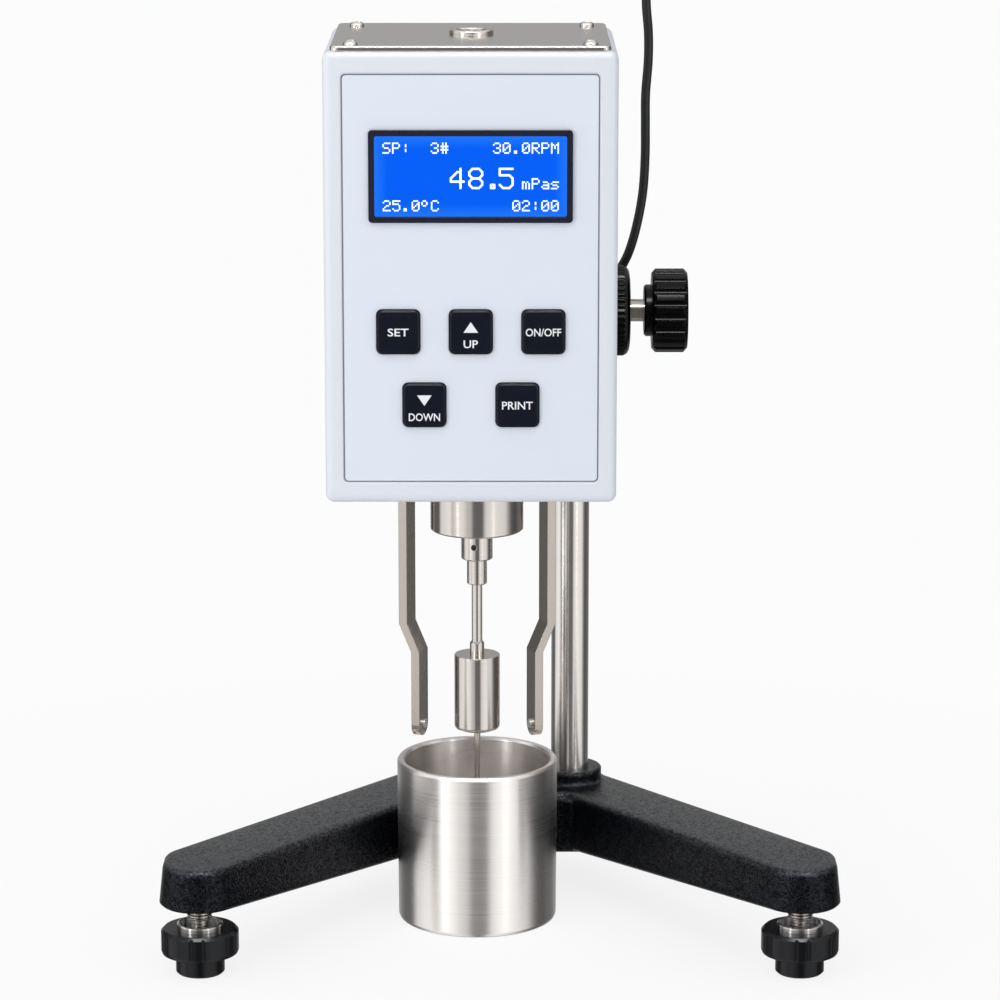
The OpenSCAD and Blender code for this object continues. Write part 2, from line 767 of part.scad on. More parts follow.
// Cup of the spirit level, let into the cover, with the flange that rests on it
module level_bezel() {
    r = level_d / 2;
    inner = level_body_r - level_wall;
    rim = cover_z + level_h;
    color(STEEL) translate([head_x, 0, 0]) rotate_extrude() polygon([
        [0, cover_z - level_deep], [level_body_r, cover_z - level_deep], [level_body_r, cover_z],
        [r, cover_z], [r, rim - 0.5], [r - 0.5, rim], [inner + 0.5, rim], [inner, rim - 0.5],
        [inner, cover_z - level_deep + level_wall], [0, cover_z - level_deep + level_wall],
    ]);
}

module level_vial() {
    r = level_body_r - level_wall;
    top = cover_z + level_h - 0.5;
    color("#d9e36a") translate([head_x, 0, 0]) rotate_extrude() polygon([
        [0, cover_z - level_deep + level_wall], [r, cover_z - level_deep + level_wall],
        [r, top - 0.6], [r - 1.4, top - 0.2], [0, top],
    ]);
}

module front_overlay() {
    color("#dbe4f4") difference() {
        front_plate(head_x, overlay_z, overlay_w, overlay_h, overlay_r,
            front_y + overlay_recess - overlay_t, front_y + overlay_recess);
        front_plate(head_x, lcd_mid, lcd_w, lcd_h, lcd_r, front_y - 1, front_y + 2);
        key_holes(front_y - 1, front_y + 2);
    }
}

// Fills the opening of the display's bezel, from y0 to y1
module in_bezel(y0, y1) {
    front_plate(head_x, lcd_mid, lcd_w - 2 * lcd_rim, lcd_h - 2 * lcd_rim, 0.8, y0, y1);
}

module lcd_bezel() {
    color(BLACK_PLASTIC) difference() {
        front_plate(head_x, lcd_mid, lcd_w, lcd_h, lcd_r, front_y - lcd_proud, lcd_pcb_y);
        in_bezel(front_y - 2, lcd_pcb_y + 1);
    }
}

module lcd_window() {
    color("#9fc4ee") in_bezel(front_y - window_t / 2, front_y + window_t / 2);
}

// Display glass and backlight on their own circuit board
module lcd_module() {
    color("#1456d8") {
        in_bezel(front_y + window_t / 2, lcd_pcb_y + 0.5);
        front_plate(head_x, lcd_mid, lcd_w + 12, lcd_h + 12, 1, lcd_pcb_y, lcd_pcb_y + pcb_t);
    }
}

// Circuit board with one short-travel switch behind each key
module keypad_board() {
    color(BOARD) {
        front_plate(head_x, keys_z, 3 * key_pitch + 8, 2 * key_rows + 8, 1, board_y, board_y + pcb_t);
        for (k = KEYS) rod_y(head_x + k.x, k.y, 3.5, board_y - switch_h, board_y + 0.5);
    }
}

// Key cap, the flange that keeps it in the housing, and the stem that meets its switch
module key_cap(k) {
    x = head_x + k.x;
    flange_y = inside_y + end_gap;
    color("#1d2440") {
        front_plate(x, k.y, key_w - 1, key_h - 1, key_r - 0.5, front_y - key_proud, front_y);
        front_plate(x, k.y, key_w, key_h, key_r, front_y - key_proud + 0.4, flange_y + 0.5);
        front_plate(x, k.y, key_w + 2.4, key_h + 2.4, key_r, flange_y, flange_y + key_flange);
        rod_y(x, k.y, key_stem_d, flange_y, board_y - switch_h - key_travel - 0.1);
    }
}

module rear_panel() {
    color(PALE_PAINT) difference() {
        union() {
            front_plate(head_x, panel_z, inside_w - 2 * part_gap, panel_h - 2 * part_gap, 1,
                panel_y, rear_y);
            for (sx = SIDES, sz = SIDES)
                rod_y(head_x + sx * (board_w / 2 - post_d), board_z + sz * (board_h / 2 - post_d / 2 - 1),
                    post_d, panel_y - board_post_h, panel_y + 1);
        }
        for (sx = SIDES, z = SCREW_Z)
            rod_y(head_x + sx * rear_screw_x, z, small_screw_d, panel_y - 1, rear_y + 1);
        for (sx = SIDES, sz = SIDES)
            rod_y(block_mid_x + sx * bolt_dx, pinion_z + sz * bolt_dz, bolt_d, panel_y - 1, rear_y + 1);
        rod_y(gland_x, gland_z, gland_d, panel_y - 1, rear_y + 1);
        front_plate(socket_x, socket_z, socket_w + 2 * free_gap, socket_h + 2 * free_gap, 2,
            panel_y - 1, rear_y + 1);
    }
}

module rear_screws() {
    color(STEEL) for (sx = SIDES, z = SCREW_Z) {
        x = head_x + sx * rear_screw_x;
        rod_y(x, z, small_screw_d, panel_y - 9, rear_y + 0.5);
        difference() {
            rod_y(x, z, 5.6, rear_y, rear_y + 1.8);
            rod_y(x, z, 2.4, rear_y + 0.8, rear_y + 2);
        }
    }
}

module main_board() {
    y = panel_y - board_post_h - pcb_t;
    color(BOARD) front_plate(head_x, board_z, board_w, board_h, 1, y, y + pcb_t);
    color(BLACK_PLASTIC) {
        front_plate(head_x - 0.28 * board_w, board_z, 0.28 * board_w, board_h / 2, 1, y - 14, y + 0.5);
        front_plate(head_x + 0.2 * board_w, board_z + board_h / 8, 0.4 * board_w, board_h / 4, 1,
            y - 6, y + 0.5);
    }
}

// Nine-pin socket for a printer, with its flange and two jack posts
module printer_socket() {
    lip = 0.8;
    color(DARK_STEEL) {
        difference() {
            front_plate(socket_x, socket_z, socket_w, socket_h, 2, panel_y - 5, rear_y + 5.5);
            front_plate(socket_x, socket_z, socket_w - 2 * lip, socket_h - 2 * lip, 1.4,
                rear_y + 1, rear_y + 6);
        }
        front_plate(socket_x, socket_z, socket_w + 13.6, socket_h + 3.8, 1.5, rear_y, rear_y + 0.9);
        for (s = SIDES) translate([socket_x + s * (socket_w / 2 + 3.8), rear_y + 5, socket_z])
            rotate([90, 0, 0]) cylinder(d = 5, h = 4.5, $fn = 6);
    }
}

// Gland that the cord leaves the rear panel through
module cord_gland() {
    color(BLACK_PLASTIC) {
        rod_y(gland_x, gland_z, gland_d, panel_y - 5, rear_y + 1);
        translate([gland_x, rear_y + 5, gland_z]) rotate([90, 0, 0])
            cylinder(d = gland_nut_d, h = 5, $fn = 6);
        translate([gland_x, rear_y + 4, gland_z]) rotate([-90, 0, 0])
            cylinder(d1 = gland_nut_d - 3, d2 = cord_d + 1.6, h = relief_len);
    }
}

// Drive

// Folded steel bracket: lower flange on the housing's floor, upright, upper flange for the motor
module drive_frame() {
    top = frame_top - frame_z;
    color(DARK_STEEL) difference() {
        translate([spindle_x - frame_w / 2, -frame_y + 10, frame_z])
            cube([frame_w, 2 * frame_y - 10 + frame_t, top]);
        translate([spindle_x - frame_w / 2 - 1, -frame_y, frame_z + frame_t])
            cube([frame_w + 2, 2 * frame_y, top - 2 * frame_t]);
        translate([spindle_x, 0, frame_z - 1]) cylinder(d = spigot_d, h = frame_t + 2);
        translate([spindle_x, 0, frame_top - frame_t - 1]) cylinder(d = pilot_d, h = frame_t + 2);
        guard_screw_rods(frame_z - 1, frame_z + frame_t + 1);
    }
}

module motor() {
    shaft_bore = pivot_d + 2 * run_gap;
    color("#4a4c50") difference() {
        union() {
            translate([spindle_x, 0, frame_top])
                linear_extrude(motor_h) polygon(round_rect(motor_w, motor_w, 4));
            translate([spindle_x, 0, frame_top - 2]) cylinder(d = pilot_d, h = 3);
        }
        translate([spindle_x, 0, frame_top - 3]) cylinder(d = shaft_bore, h = 10);
    }
}

// Two forked light gates on the upright, one round the edge of each disc
module disc_sensors() {
    front = disc_d / 2 - 4;
    color(BLACK_PLASTIC) for (z = [pointer_z, drive_disc_z]) difference() {
        translate([spindle_x - 6, front, z - 5]) cube([12, frame_y - front, 10]);
        translate([spindle_x - 7, front - 1, z - 1.5]) cube([14, 7, 3]);
    }
}

module drive_shaft() {
    r = pivot_r;
    z = pivot_top + 1;
    color(STEEL) on_spindle([
        [pivot_tip_d / 2 + run_gap, z], [r, z], [r, frame_top + 6], [0, frame_top + 6],
        [0, z + pivot_tip_len], [pivot_tip_d / 2 + run_gap, z + pivot_tip_len],
    ]);
}

// Slotted disc, hub z0 to z1 high and plate 1 mm thick round height z
module slotted_disc(z, z0, z1) {
    difference() {
        on_spindle([
            [pivot_r, z0], [7, z0], [7, z - 0.5], [disc_d / 2, z - 0.5],
            [disc_d / 2, z + 0.5], [7, z + 0.5], [7, z1], [pivot_r, z1],
        ]);
        translate([spindle_x - 0.75, disc_d / 2 - 3.5, z - 1]) cube([1.5, 6, 2]);
    }
}

// Upper disc, turned by the motor, with the post that holds the hairspring's outer end
module drive_disc() {
    color(BRONZE) {
        slotted_disc(drive_disc_z, drive_disc_z - 3, drive_disc_z + 3);
        translate([spindle_x + spring_r + spring_post_d / 2, 0, spring_z - spring_w / 2])
            cylinder(d = spring_post_d, h = drive_disc_z - spring_z + spring_w / 2, $fn = 16);
    }
}

// Flat spiral hairspring between the pivot shaft's collet and the drive disc's post
module hairspring() {
    inner = pivot_r + 1.4;
    outer = spring_r - spring_t / 2;
    steps = 20 * spring_turns;
    function spiral(off) = [for (i = [0:steps]) let (t = i / steps, a = 360 * spring_turns * (t - 1))
        (inner + (outer - inner) * t + off) * [cos(a), sin(a)]];
    out = spiral(spring_t / 2);
    in = spiral(-spring_t / 2);
    color(BRONZE) translate([spindle_x, 0, spring_z - spring_w / 2]) {
        linear_extrude(spring_w) polygon([each out, for (i = [steps:-1:0]) in[i]]);
        difference() {
            cylinder(r = inner + 0.6, h = spring_w);
            translate([0, 0, -1]) cylinder(r = pivot_r + run_gap, h = spring_w + 2);
        }
    }
}

module pivot_shaft() {
    color(STEEL) on_spindle([
        [0, pivot_low], [pivot_r, pivot_low], [pivot_r, pivot_top], [pivot_tip_d / 2, pivot_top],
        [pivot_tip_d / 2, pivot_top + pivot_tip_len], [0, pivot_top + pivot_tip_len],
    ]);
}

// Lower disc, turned by the spindle
module pointer_disc() {
    color(BRONZE) slotted_disc(pointer_z, pointer_z - 3, pointer_z + 3);
}

module bearing_collar() {
    r = collar_d / 2;
    seat = bearing_d / 2;
    bore = pivot_r + 2;
    top = head_z + spigot_h;
    color(STEEL) on_spindle([
        [seat, collar_z], [r - 0.6, collar_z], [r, collar_z + 0.6], [r, head_z], [spigot_d / 2, head_z],
        [spigot_d / 2, top], [seat, top], [seat, top - bearing_h], [bore, top - bearing_h],
        [bore, collar_z + bearing_h + 0.6], [seat, collar_z + bearing_h + 0.6],
    ]);
}

module pivot_bearings() {
    color(DARK_STEEL) for (z = [collar_z + 0.6, head_z + spigot_h - bearing_h])
        on_spindle([
            [pivot_r + run_gap, z], [bearing_d / 2, z],
            [bearing_d / 2, z + bearing_h], [pivot_r + run_gap, z + bearing_h],
        ]);
}

// Bar along the grub screw, from y0 inwards to just before the pivot shaft
module grub(y0) {
    translate([spindle_x, 0, 0]) rotate(grub_turn) rod_y(0, grub_z, grub_d, y0, -pivot_r - 0.2);
}

module coupling() {
    r = coupling_d / 2;
    color(STEEL) difference() {
        on_spindle([
            [stub_d / 2, coupling_z], [r - 0.5, coupling_z], [r, coupling_z + 0.5], [r, coupling_top - 0.5],
            [r - 0.5, coupling_top], [pivot_r, coupling_top], [pivot_r, pivot_low],
            [stub_d / 2, pivot_low],
        ]);
        grub(-r - 1);
    }
}

// Grub screw in the front of the coupling
module coupling_screw() {
    color(DARK_STEEL) grub(0.5 - coupling_d / 2);
}

// Hub, shaft, neck, measuring bob and tip rod, turned from one bar
module spindle() {
    bob_r = bob_d / 2;
    hub_r = hub_d / 2;
    shaft_r = spindle_shaft_d / 2;
    neck_r = neck_d / 2;
    hub_z = coupling_z - hub_len;
    color(STEEL) on_spindle([
        [0, tip_z], [0.7, tip_z], [tip_d / 2 - 0.2, tip_z + 0.9], [tip_d / 2, bob_z], [bob_r - 3, bob_z],
        [bob_r - 0.5, bob_z + 1], [bob_r, bob_z + 2], [bob_r, bob_top - 0.3], [bob_r - 0.3, bob_top],
        [neck_r, bob_top], [neck_r, neck_top - 1], [shaft_r, neck_top], [shaft_r, hub_z],
        [hub_r - 0.4, hub_z], [hub_r, hub_z + 0.4], [hub_r, coupling_z], [stub_d / 2, coupling_z],
        [stub_d / 2, coupling_z + stub_len], [0, coupling_z + stub_len],
    ]);
}

// Guard legs

// Bent strip in [distance from the axis, height], with the foot that screws under the head
module guard_strip() {
    t = strip_t / 2;
    foot_in = guard_r_top - 11;
    end_r = strip_w / 2;
    intersection() {
        translate([0, end_r, 0]) rotate([90, 0, 0]) linear_extrude(strip_w) polygon([
            [foot_in, head_z], [foot_in, head_z - strip_t], [guard_r_top - t, head_z - strip_t],
            [guard_r_top - t, guard_bend_top], [guard_r_low - t, guard_bend_low],
            [guard_r_low - t, guard_z], [guard_r_low + t, guard_z],
            [guard_r_low + t, guard_bend_low], [guard_r_top + t, guard_bend_top],
            [guard_r_top + t, head_z],
        ]);
        rotate([90, 0, 90]) linear_extrude(guard_r_top + strip_t) polygon([
            [end_r, head_z + 1], [-end_r, head_z + 1], each arc([0, guard_z + end_r], end_r, 180, 360, 10),
        ]);
    }
}

module guard_leg(a) {
    color(STEEL) translate([spindle_x, 0, 0]) rotate(a) difference() {
        guard_strip();
        translate([guard_screw_r, 0, head_z - strip_t - 1]) cylinder(d = guard_screw_d, h = strip_t + 2);
        rod_x(0, guard_pin_z, guard_pin_d, guard_r_low - strip_t, guard_r_low + strip_t);
    }
}

module guard_screws() {
    head_h = 2.4;
    under = head_z - strip_t;
    color(DARK_STEEL) {
        guard_screw_rods(under - 1, frame_z + frame_t);
        for (a = [guard_turn, 180 - guard_turn])
            translate([spindle_x, 0, under - head_h]) rotate(a) translate([guard_screw_r, 0, 0])
                cylinder(d = 7, h = head_h);
    }
}

// Small screws through the lower ends of the legs
module guard_pins() {
    color(STEEL) for (a = [guard_turn, 180 - guard_turn])
        translate([spindle_x, 0, 0]) rotate(a) {
            rod_x(0, guard_pin_z, guard_pin_d, guard_r_low - strip_t / 2 - 0.5, guard_r_low + strip_t / 2);
            rod_x(0, guard_pin_z, 3.8, guard_r_low - strip_t / 2 - 0.9, guard_r_low - strip_t / 2);
        }
}

// Lift

module lift_block() {
    bore = column_d + 2 * bush_wall;
    height = 2 * block_half;
    color(BLACK_PAINT) difference() {
        union() {
            translate([0, 0, pinion_z - block_half]) linear_extrude(height) polygon([
                [block_left, rear_y], [block_right, rear_y],
                each arc([block_right - block_r, block_rear - block_r], block_r, 0, 90),
                each arc([block_left + block_r, block_rear - block_r], block_r, 90, 180),
            ]);
            rod_x(pinion_y, pinion_z, ring_boss_d, block_right - 1, boss_x);
        }
        translate([column_x, column_y, pinion_z - block_half - 1]) cylinder(d = bore, h = height + 2);
        rod_x(pinion_y, pinion_z, 2 * chamber_r, chamber_x, boss_x + 1);
        rod_x(pinion_y, pinion_z, journal_d + 2 * run_gap, journal_x, chamber_x + 1);
        for (sx = SIDES, sz = SIDES)
            rod_y(block_mid_x + sx * bolt_dx, pinion_z + sz * bolt_dz, bolt_d, rear_y - 1, bolt_end_y);
    }
}

module lift_bolts() {
    color(DARK_STEEL) for (sx = SIDES, sz = SIDES) {
        x = block_mid_x + sx * bolt_dx;
        z = pinion_z + sz * bolt_dz;
        rod_y(x, z, bolt_d, panel_y - 1, bolt_end_y);
        difference() {
            rod_y(x, z, 7, panel_y - 3, panel_y);
            translate([x, panel_y - 1, z]) rotate([90, 0, 0]) cylinder(d = 3.4, h = 3, $fn = 6);
        }
    }
}

// Bronze bushes: two in the block's column bore, and one that carries the pinion shaft
module lift_bushes() {
    color(BRONZE) for (z = [pinion_z - block_half, pinion_z + block_half - bush_len])
        translate([column_x, column_y, z]) difference() {
            cylinder(d = column_d + 2 * bush_wall, h = bush_len);
            translate([0, 0, -1]) cylinder(d = column_d + 2 * run_gap, h = bush_len + 2);
        }
    color(BRONZE) difference() {
        rod_x(pinion_y, pinion_z, 2 * chamber_r, pinion_bush_x, boss_x);
        rod_x(pinion_y, pinion_z, lift_shaft_d + 2 * run_gap, column_x, boss_x + 1);
    }
}

// Point of a tooth flank on the pinion, at radius r, on one side of the tooth that lies on angle a
function involute_angle(r) =
    let (base = pitch_r * cos(pressure_angle), q = acos(min(1, base / max(r, base))))
    tan(q) * 180 / PI - q;
function flank(r, a, side) =
    let (
        half = tooth_w / (2 * pitch_r) * 180 / PI,
        turn = half + involute_angle(pitch_r) - involute_angle(r)
    )
    r * [cos(a + side * turn), sin(a + side * turn)];
function pinion_tooth(a) =
    let (
        root_r = pitch_r - dedendum,
        radii = [root_r, pitch_r - 0.6 * gear_m, pitch_r, pitch_r + 0.5 * addendum, pitch_r + addendum]
    )
    [for (r = radii) flank(r, a, -1), for (i = [4:-1:0]) flank(radii[i], a, 1)];

// Pinion and shaft cut from one bar; one tooth points straight at the rack
module pinion_shaft() {
    color(STEEL) {
        translate([column_x - pinion_w / 2, pinion_y, pinion_z])
            rotate([90, 0, 90]) linear_extrude(pinion_w)
                polygon([for (i = [0:pinion_teeth - 1]) each pinion_tooth(180 + i * 360 / pinion_teeth)]);
        rod_x(pinion_y, pinion_z, journal_d, journal_x + 0.5, column_x);
        rod_x(pinion_y, pinion_z, lift_shaft_d - 1.5, column_x, pinion_bush_x);
        rod_x(pinion_y, pinion_z, lift_shaft_d, pinion_bush_x, knob_body_x + shaft_in_knob);
    }
}

module lift_knob() {
    r = lift_knob_d / 2;
    collar_r = knob_collar_d / 2;
    body = knob_body_x - knob_collar_x;
    depth = knob_end - knob_collar_x;
    flute_r = 1.6;
    flute_deep = 1;
    color(BLACK_PLASTIC) difference() {
        translate([knob_collar_x, pinion_y, pinion_z]) rotate([0, 90, 0]) difference() {
            rotate_extrude() polygon([
                [0, 0], [collar_r - 0.8, 0], [collar_r, 0.8], [collar_r, body], [r - 1.6, body],
                [r, body + 1.6], [r, depth - 1.6], [r - 1.6, depth], [0, depth],
            ]);
            for (i = [0:knob_flutes - 1]) rotate(i * 360 / knob_flutes)
                translate([r + flute_r - flute_deep, 0, 1]) cylinder(r = flute_r, h = depth);
        }
        rod_x(pinion_y, pinion_z, lift_shaft_d, knob_collar_x - 1, knob_body_x + shaft_in_knob);
    }
}

// Ring nut on the block's boss; turning it sets the drag on the pinion shaft
module tension_ring() {
    r = tension_ring_d / 2;
    depth = ring_end - ring_x;
    bore = ring_boss_d / 2 + run_gap;
    hole = lift_shaft_d / 2 + 2 * free_gap;
    floor = boss_x - ring_x + end_gap;
    color(BLACK_PLASTIC) translate([ring_x, pinion_y, pinion_z]) rotate([0, 90, 0]) intersection() {
        rotate_extrude() polygon([
            [bore, 0], [r, 0], [r, depth - 3], [r - 0.8, depth - 1.4],
            [r - 2.4, depth - 0.4], [r - 5, depth], [hole, depth], [hole, floor], [bore, floor],
        ]);
        translate([0, 0, -1]) linear_extrude(depth + 2) polygon([for (i = [0:2 * ring_ribs - 1])
            (r + 0.1 - (i % 2) * rib_deep) * [cos(180 * i / ring_ribs), sin(180 * i / ring_ribs)]]);
    }
}

// Cord

// Catmull-Rom point at t between points 1 and 2 of p
function spline(p, t) = 0.5 * (
    2 * p[1] + (p[2] - p[0]) * t
    + (2 * p[0] - 5 * p[1] + 4 * p[2] - p[3]) * t * t
    + (3 * p[1] - p[0] - 3 * p[2] + p[3]) * t * t * t
);
function unit(v) = v / norm(v);
// Sideways direction carried along the path: the last one, made square to the new direction
function carried(side, dir) = unit(side - (side * dir) * dir);
function sides_along(dirs, side, i = 0) = i >= len(dirs) ? [] :
    let (now = carried(side, dirs[i])) [now, each sides_along(dirs, now, i + 1)];

module power_cord() {
    last = len(CORD) - 1;
    padded = [2 * CORD[0] - CORD[1], each CORD, 2 * CORD[last] - CORD[last - 1]];
    path = [for (i = [0:last - 1], t = [0, 0.5]) spline([for (k = [0:3]) padded[i + k]], t), CORD[last]];
    rings = len(path);
    dirs = [for (i = [0:rings - 1]) i == 0 ? [0, 1, 0] : unit(path[min(i + 1, rings - 1)] - path[i - 1])];
    side = sides_along(dirs, [1, 0, 0]);
    n = 8;
    points = [for (i = [0:rings - 1], k = [0:n - 1])
        path[i] + cord_d / 2 * (cos(360 * k / n) * side[i] + sin(360 * k / n) * cross(dirs[i], side[i]))];
    faces = [
        [for (k = [0:n - 1]) k], [for (k = [n - 1:-1:0]) (rings - 1) * n + k],
        for (i = [0:rings - 2], k = [0:n - 1]) let (a = i * n, next = (k + 1) % n)
            [a + k, a + n + k, a + n + next, a + next],
    ];
    color(BLACK_PLASTIC) polyhedron(points, faces);
}

// In-line plug on the cord's far end
module cord_plug() {
    end = CORD[len(CORD) - 1];
    r = plug_d / 2;
    color(BLACK_PLASTIC) translate(end) rotate_extrude($fn = 32) polygon([
        [0, 0], [r - 1.8, 0], [r - 1, 6], [r, 8], [r, plug_len - 7], [r - 1.5, plug_len - 6],
        [r - 1.5, plug_len], [0, plug_len],
    ]);
}

base_casting();
foot_bushes();
rear_foot();
column();
column_bolt();
column_rack();
sample_cup();
foot_pad(-1);  // foot_pad_left
foot_pad(1);  // foot_pad_right
foot_stud(-1);  // foot_stud_left
foot_stud(1);  // foot_stud_right
foot_knob(-1);  // foot_knob_left
foot_knob(1);  // foot_knob_right
foot_ring(-1);  // foot_ring_left
foot_ring(1);  // foot_ring_right
housing();
top_cover();
cover_screws();
level_bezel();
level_vial();
front_overlay();
lcd_bezel();
lcd_window();
lcd_module();
keypad_board();
key_cap(KEYS[0]);  // set_key
key_cap(KEYS[1]);  // up_key
key_cap(KEYS[2]);  // power_key
key_cap(KEYS[3]);  // down_key
key_cap(KEYS[4]);  // print_key
rear_panel();
rear_screws();
main_board();
printer_socket();
cord_gland();
drive_frame();
motor();
disc_sensors();
bearing_collar();
pivot_bearings();
guard_leg(180 - guard_turn);  // guard_leg_left
guard_leg(guard_turn);  // guard_leg_right
guard_screws();
guard_pins();
lift_block();
lift_bolts();
lift_bushes();
pinion_shaft();
lift_knob();
tension_ring();
drive_shaft();
drive_disc();
hairspring();
pivot_shaft();
pointer_disc();
coupling();
coupling_screw();
spindle();
power_cord();
cord_plug();
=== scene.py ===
"""Looks of the rotational viscometer: camera, materials, painted groove shade round the overlay, cord,
display, legends, studio.
"""
import json
import math

import bmesh
import bpy
from mathutils import Matrix, Vector


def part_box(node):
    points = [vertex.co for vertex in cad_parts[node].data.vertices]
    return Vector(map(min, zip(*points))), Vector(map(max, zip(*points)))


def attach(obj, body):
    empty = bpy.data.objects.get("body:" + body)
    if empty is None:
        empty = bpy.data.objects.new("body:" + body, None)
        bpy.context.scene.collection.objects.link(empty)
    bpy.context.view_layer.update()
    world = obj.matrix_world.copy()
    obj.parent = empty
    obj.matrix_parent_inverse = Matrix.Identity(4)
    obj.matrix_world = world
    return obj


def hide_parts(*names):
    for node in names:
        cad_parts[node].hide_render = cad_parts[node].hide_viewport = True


MM = 0.001

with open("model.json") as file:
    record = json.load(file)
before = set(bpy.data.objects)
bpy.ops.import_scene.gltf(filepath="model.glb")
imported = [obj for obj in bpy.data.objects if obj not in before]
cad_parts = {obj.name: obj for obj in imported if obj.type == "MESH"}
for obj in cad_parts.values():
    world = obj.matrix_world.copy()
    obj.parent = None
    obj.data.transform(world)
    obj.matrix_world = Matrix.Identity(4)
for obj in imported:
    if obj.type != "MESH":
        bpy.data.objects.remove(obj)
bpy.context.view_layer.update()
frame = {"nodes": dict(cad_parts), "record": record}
nodes = frame["nodes"]


# Camera: the photograph is 1000 px wide and high, its focal length is 4000 px

LENS_MM = 144
SENSOR_MM = 36
CAMERA_AT = (0, -1.6055, 0.5309)
CAMERA_DOWN = 12.4

lens = bpy.data.cameras.new("camera")
lens.lens = LENS_MM
lens.sensor_width = SENSOR_MM
camera = bpy.data.objects.new("camera", lens)
camera.location = CAMERA_AT
camera.rotation_euler = (math.radians(90 - CAMERA_DOWN), 0, 0)
bpy.context.scene.collection.objects.link(camera)
bpy.context.scene.camera = camera
bpy.context.scene.view_settings.view_transform = "Standard"


# Small helpers

def srgb(r, g, b):
    """Linear colour of an 8-bit screen colour."""
    return tuple(c / 3294.6 if c <= 10 else ((c / 255 + 0.055) / 1.055) ** 2.4 for c in (r, g, b)) + (1,)


class Nodes:
    """Builds the node tree of a material, or of a world, with few words."""

    def __init__(self, name, world=False):
        self.material = (bpy.data.worlds if world else bpy.data.materials).new(name)
        self.material.use_nodes = True
        self.tree = self.material.node_tree
        self.tree.nodes.clear()
        self.out = self.add("ShaderNodeOutputWorld" if world else "ShaderNodeOutputMaterial")

    def add(self, kind, **values):
        """New node, with its settings and its inputs' numbers or colours."""
        node = self.tree.nodes.new(kind)
        for key, value in values.items():
            if hasattr(node, key):
                setattr(node, key, value)
            else:
                node.inputs[key.replace("_", " ")].default_value = value
        return node

    def link(self, source, target):
        self.tree.links.new(source, target)

    def feed(self, value, target):
        """Gives an input a number or colour, or links a socket to it."""
        if isinstance(value, bpy.types.NodeSocket):
            self.link(value, target)
        else:
            target.default_value = value

    def shader(self, **values):
        """The main shader of a material."""
        node = self.add("ShaderNodeBsdfPrincipled", **values)
        self.link(node.outputs[0], self.out.inputs[0])
        return node

    def place(self, scale=(1, 1, 1)):
        """Coordinates in metres in the row frame, stretched by scale."""
        where = self.add("ShaderNodeTexCoord")
        stretch = self.add("ShaderNodeMapping", Scale=scale)
        self.link(where.outputs["Object"], stretch.inputs["Vector"])
        return stretch.outputs["Vector"]

    def noise(self, where, scale, detail=2.0, roughness=0.5, distortion=0.0):
        """Noise from 0 to 1, with scale spots in a metre."""
        node = self.add("ShaderNodeTexNoise", Scale=scale, Detail=detail, Roughness=roughness,
                        Distortion=distortion)
        self.link(where, node.inputs["Vector"])
        return node.outputs["Fac"]

    def ramp(self, value, low, high, at=(0.0, 1.0)):
        """Turns value into a number from low to high, over the stretch at."""
        node = self.add("ShaderNodeMapRange", From_Min=at[0], From_Max=at[1], To_Min=low, To_Max=high)
        self.link(value, node.inputs["Value"])
        return node.outputs["Result"]

    def blend(self, factor, low, high):
        """Colour between low and high, each a colour or a socket."""
        node = self.add("ShaderNodeMix", data_type="RGBA")
        for name, value in (("Factor", factor), ("A", low), ("B", high)):
            self.feed(value, node.inputs[name])
        return node.outputs["Result"]

    def bump(self, height, distance, strength=1.0, soften=0.0):
        """Bump of the given depth in metres, over edges rounded by soften metres."""
        node = self.add("ShaderNodeBump", Distance=distance, Strength=strength)
        self.link(height, node.inputs["Height"])
        if soften:
            self.link(self.rounded(soften), node.inputs["Normal"])
        return node.outputs["Normal"]

    def math(self, operation, a, b=0):
        """Result of a sum or the like on two sockets or numbers."""
        node = self.add("ShaderNodeMath", operation=operation)
        for target, value in zip(node.inputs, (a, b)):
            self.feed(value, target)
        return node.outputs[0]

    def mix(self, factor, first, second):
        """Shader between first and second."""
        node = self.add("ShaderNodeMixShader")
        for target, value in zip(node.inputs, (factor, first.outputs[0], second.outputs[0])):
            self.feed(value, target)
        return node

    def rounded(self, radius):
        """Normal that makes edges look rounded by radius metres."""
        return self.add("ShaderNodeBevel", samples=6, Radius=radius).outputs["Normal"]


PAINT_EDGE = 2.6 * MM
CRINKLE_DEPTH = 0.28 * MM
TURNED_ANISOTROPY = 0.85
QUARTER_TURN = 0.25
EDGE_GLOW = 5 * MM


def paler(color, share):
    """The colour with its brightness multiplied by share."""
    return tuple(share * c for c in color[:3]) + (1,)


def painted(name, color, rough, peel, soften):
    """Smooth paint with a fine orange peel."""
    n = Nodes(name)
    where = n.place()
    body = n.shader(Roughness=rough, IOR=1.5)
    n.link(n.blend(n.noise(where, scale=60), color, paler(color, 0.97)), body.inputs["Base Color"])
    orange_peel = n.noise(where, scale=900, detail=3)
    n.link(n.bump(orange_peel, peel, strength=0.5, soften=soften), body.inputs["Normal"])
    return n.material


